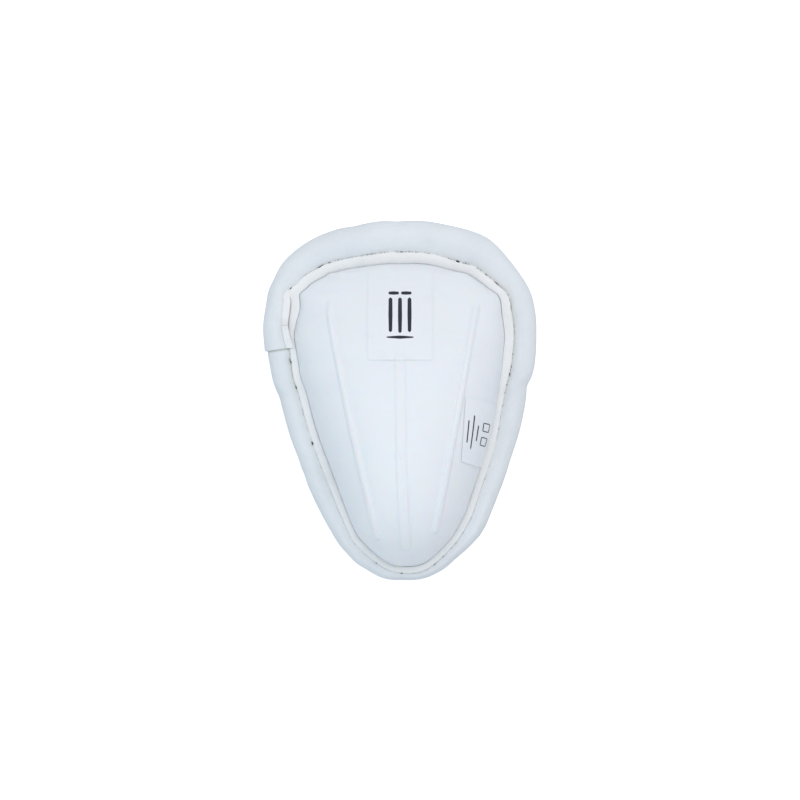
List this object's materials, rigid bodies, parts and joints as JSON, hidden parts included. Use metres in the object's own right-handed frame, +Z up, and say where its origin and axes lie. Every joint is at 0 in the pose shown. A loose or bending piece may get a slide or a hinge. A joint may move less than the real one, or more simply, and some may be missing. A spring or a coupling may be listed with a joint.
{
  "type": "cricket abdominal guard",
  "caption": "Cricket abdominal guard: a ribbed moulded cup, open below, with a padded roll, a binding strip and plain film labels round a pear-shaped rim.",
  "frame": {"origin": "on the floor under the middle of the outline, with the guard lying dome up on its padded roll", "axes": "+X across the guard, +Y towards the wide waist end, +Z up out of the cup's dome"},
  "size_m": [0.1337, 0.176, 0.0599],
  "materials": {
    "moulded_pvc": "smooth white PVC, softly glossy, with faint mould haze",
    "leathercloth": "matte white PVC-coated leathercloth with a fine grain and soft creases",
    "binding_cloth": "narrow off-white coated strip, a little creamier than the roll",
    "label_film": "thin milky film with clean cut edges"
  },
  "bodies": {
    "root": {"shell": "moulded_pvc", "padded_roll": "leathercloth", "edge_binding": "binding_cloth", "binding_tail": "binding_cloth", "front_label": "label_film", "side_label": "label_film"}
  },
  "joints": []
}
